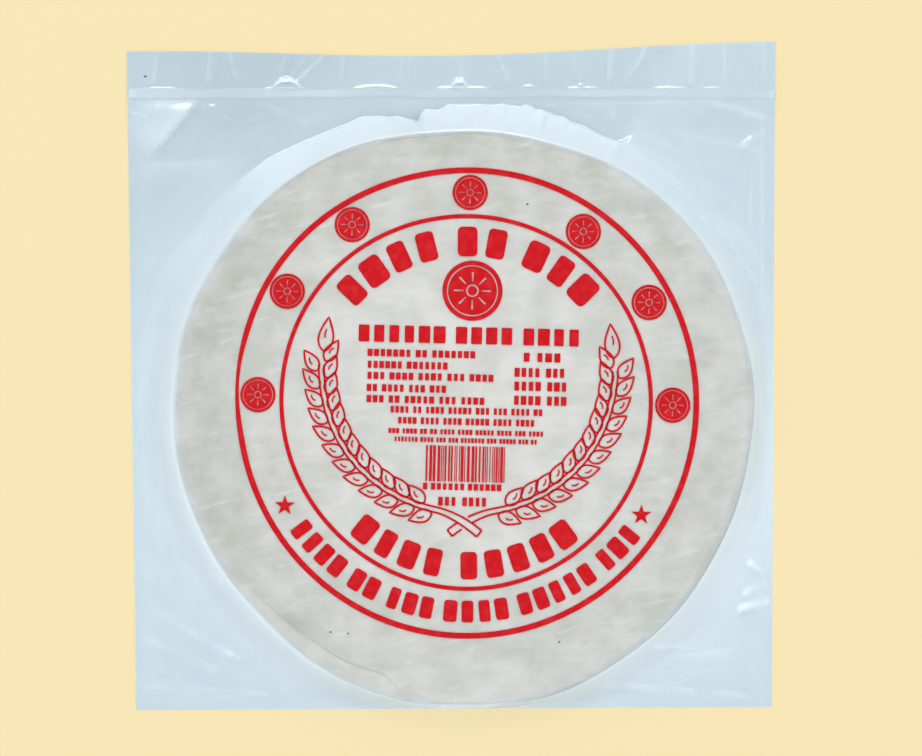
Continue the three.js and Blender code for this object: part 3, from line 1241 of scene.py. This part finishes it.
def rice_paper_finish():
    """Dry, matt, warm white starch sheet: paler in the middle, mottled, darker towards the rim, with
    painted shade in places and painted highlight dashes.
    """
    f = new_finish("rice_paper")
    place = f.place()
    tone = f.tone("tone")
    patches = f.noise(place, 85, 3, 0.6)
    streaks = f.noise(f.stretched(place, (12.5 * MM, 3.3 * MM, 1)), 1, 3, 0.6)
    grain_marks = f.noise(place, 900, 4, 0.6)
    painted_highlight_dashes = f.noise(f.stretched(place, (15 * MM, 2.2 * MM, 1), 0.25), 1, 2, 0.4)
    # The tone darkens the paper towards the rim; on the lower wrappers' lower right and inside the top
    # wrapper's drawn-in edge that darkening is painted shade.
    body = f.blend(tone, shade(209, 209, 204), shade(182, 184, 177))
    mottle = f.ramp(patches * 0.75 + streaks * 0.25, (0.38, 0.0), (0.6, 1.0))
    duller = f.blend(mottle, shade(163, 166, 155), shade(217, 217, 213))
    mottled = f.blend(0.3, body, duller)
    # Pale dashes stand in for light catching the mat's raised lines: a painted highlight.
    base = f.blend(f.ramp(painted_highlight_dashes, (0.62, 0.0), (0.72, 0.3)), mottled, shade(224, 225, 221))
    return f.done(f.surface({
        "Base Color": base,
        "Roughness": 0.5 + grain_marks * 0.2,
        "Normal": f.relief(streaks * 0.6 + grain_marks * 0.2 + patches * 0.3, 0.2 * MM, 0.8),
    }))


def husk_finish():
    """Dark brown scrap of rice husk."""
    f = new_finish("husk")
    mottle = f.noise(f.place(), 2500, 2)
    return f.done(f.surface({
        "Base Color": f.blend(mottle, shade(62, 52, 46), shade(34, 30, 30)),
        "Roughness": 0.6 + mottle * 0.2,
    }))


def clear_film_finish():
    """Thin clear film: seen straight through, crisply glossy, and pale where its haze tone says, which
    is partly milkiness and partly painted light.
    """
    f = new_finish("clear_film")
    place = f.place()
    cockle = f.noise(f.stretched(place, (11 * MM, 8 * MM, 1)), 1, 3, 0.5)
    normal = f.relief(cockle, 0.25 * MM, 0.35)
    gloss = f.surface({
        "Base Color": (1, 1, 1, 1),
        "Metallic": 1.0,
        "Roughness": 0.09,
        "Normal": normal,
    })
    clear = f.node("ShaderNodeBsdfTransparent")
    glossy = f.mix_shader(f.gloss_at_edge(0.04, 0.28), clear, gloss)
    # The pale layer: the film's milkiness, and painted light and highlights where the haze tone is
    # painted.
    milky = f.surface({
        "Base Color": f.blend(cockle, shade(228, 242, 250), shade(237, 248, 253)),
        "Roughness": 0.5,
        "Specular IOR Level": 0.0,
    })
    return f.done(f.mix_shader(f.tone("haze"), glossy, milky))


def milky_film_finish():
    """Pale blue milky film, a little denser beyond the seal, faintly cloudy."""
    f = new_finish("milky_film")
    place = f.place()
    x = f.node("ShaderNodeSeparateXYZ", sockets={"Vector": place})
    y = x.other("Y")
    clouds = f.noise(f.stretched(place, (45 * MM, 29 * MM, 1)), 1, 2)
    flap = f.ramp((y - float(SEAL_LOWER)) * 200 + 0.3, (0.0, 0.0), (1.0, 1.0))
    upper_left = f.ramp((y - x) * 5, (0.72, 0.0), (0.9, 1.0))
    body = f.blend(clouds, shade(179, 197, 206), shade(194, 211, 218))
    pale = f.blend(flap * 0.6, body, shade(183, 200, 208))
    base = f.blend(upper_left * 0.7, pale, shade(174, 191, 199))
    return f.done(f.surface({
        "Base Color": base,
        "Roughness": 0.35 + clouds * 0.15,
        "Normal": f.relief(f.noise(place, 160, 3), 0.15 * MM, 0.4),
    }))


def seal_finish():
    """The melted strip: the two films in one, crimped and in places a little whiter."""
    f = new_finish("melted_seal")
    place = f.place()
    crimp = f.noise(f.stretched(place, (2 * MM, 8 * MM, 1)), 1, 2)
    whiter = f.ramp(f.noise(place, 22, 2), (0.4, 0.25), (0.62, 1.0))
    crimped = f.blend(crimp, shade(180, 197, 205), shade(188, 204, 211))
    melted = f.blend(whiter, crimped, shade(197, 212, 219))
    base = f.blend(f.tone("melt"), shade(182, 200, 208), melted)
    return f.done(f.surface({
        "Base Color": base,
        "Roughness": 0.3,
        "Normal": f.relief(crimp, 0.1 * MM, 0.5),
    }))


def ink_finish():
    """Flat red printing ink with slightly thin patches and pinholes."""
    f = new_finish("red_ink")
    place = f.place()
    patchy = f.noise(place, 320, 3, 0.6)
    base = f.blend(f.ramp(patchy, (0.45, 0.0), (0.75, 1.0)), shade(196, 9, 22), shade(208, 36, 45))
    return f.done(f.surface({
        "Base Color": base,
        "Roughness": 0.45 + patchy * 0.2,
        "Specular IOR Level": 0.1,
        "Normal": f.relief(patchy, 0.02 * MM, 0.5),
    }))


def ground_finish():
    """Plain cream card."""
    f = new_finish("cream_ground")
    tooth = f.noise(f.place(), 300, 3)
    return f.done(f.surface({
        "Base Color": f.blend(tooth, shade(112, 103, 80), shade(114, 105, 82)),
        "Roughness": 0.9,
        "Specular IOR Level": 0.0,
        "Emission Color": shade(248, 230, 182),
        "Emission Strength": 0.78,
    }))


# ---------------------------------------------------------------------------------------
# Stage


def add_lamp(name, place, size, energy, in_reflections):
    """A soft rectangular lamp that shines on the middle of the pack."""
    lamp = bpy.data.lights.new(name, "AREA")
    lamp.shape = "RECTANGLE"
    lamp.size, lamp.size_y = size
    lamp.energy = energy
    holder = bpy.data.objects.new(name, lamp)
    holder.location = place
    holder.rotation_mode = "QUATERNION"
    holder.rotation_quaternion = (-holder.location).to_track_quat("-Z", "Y")
    holder.visible_glossy = in_reflections
    bpy.context.scene.collection.objects.link(holder)


def light_studio():
    """A soft pale studio: dark overhead, pale all round, and a bright wall beyond the mouth."""
    world = bpy.data.worlds.new("studio")
    bpy.context.scene.world = world
    f = Finish(world)
    heading = f.node("ShaderNodeTexCoord", output="Generated")
    x = f.node("ShaderNodeSeparateXYZ", sockets={"Vector": heading})
    y, z = x.other("Y"), x.other("Z")
    round_about = f.ramp(z, (0.0, 0.55), (0.5, 0.7), (0.72, 1.0), (0.85, 0.85), (0.985, 0.06))
    level = (x * x + y * y + 1e-6).root()
    towards_mouth = (y + x * -0.05) / level
    low_down = f.ramp(z, (0.0, 1.0), (0.6, 1.0), (0.8, 0.0))
    wall = f.ramp(towards_mouth, (0.42, 0.0), (0.8, 1.0)) * low_down
    glow = f.node("ShaderNodeBackground", sockets={
        "Color": shade(250, 252, 255),
        "Strength": round_about * 0.8 + wall,
    })
    f.done(glow, "ShaderNodeOutputWorld")
    add_lamp("soft_key", (-0.15, 1.1, 1.15), (0.8, 0.5), 7.0, True)
    add_lamp("soft_overhead", (0.0, 0.1, 2.2), (2.0, 2.0), 11.0, False)
    add_lamp("left_fill", (-1.1, -0.9, 1.1), (1.2, 1.2), 7.5, False)
    add_lamp("right_fill", (1.1, -0.9, 1.1), (1.2, 1.2), 7.5, False)


def make_camera():
    """Looks straight down on the front of the pack, with the mouth at the top."""
    camera = bpy.data.objects.new("camera", bpy.data.cameras.new("camera"))
    bpy.context.scene.collection.objects.link(camera)
    bpy.context.scene.camera = camera
    height, sensor = 1.6, 36
    seen_width, seen_level = 350.3 * MM, 4 * MM
    camera.location = (3.8 * MM, -0.8 * MM, height)
    camera.data.sensor_width = sensor
    camera.data.lens = sensor * (height - seen_level) / seen_width
    camera.data.clip_start, camera.data.clip_end = 0.05, 20


def make_ground():
    """A plain card, much wider than the view, that the pack lies on."""
    half = 3.0
    corners = [(-half, -half, 0), (half, -half, 0), (half, half, 0), (-half, half, 0)]
    mesh = bpy.data.meshes.new("ground")
    mesh.from_pydata(corners, [], [(0, 1, 2, 3)])
    mesh.materials.append(ground_finish())
    ground = bpy.data.objects.new("ground", mesh)
    bpy.context.scene.collection.objects.link(ground)


make_camera()
light_studio()
make_ground()
bpy.context.scene.view_settings.view_transform = "Standard"

milky_film, clear_film = milky_film_finish(), clear_film_finish()
rice_paper, red_ink, husk = rice_paper_finish(), ink_finish(), husk_finish()

make_back_film(milky_film)
make_heat_seal(seal_finish())
make_lower_wrappers(rice_paper)
make_top_wrapper(rice_paper)
make_specks(husk)
make_rings(red_ink)
make_dots(red_ink)
make_blocks(red_ink)
make_bars(red_ink)
make_stars(red_ink)
make_ears(red_ink)
make_front_film(clear_film)
make_flap_film(clear_film)
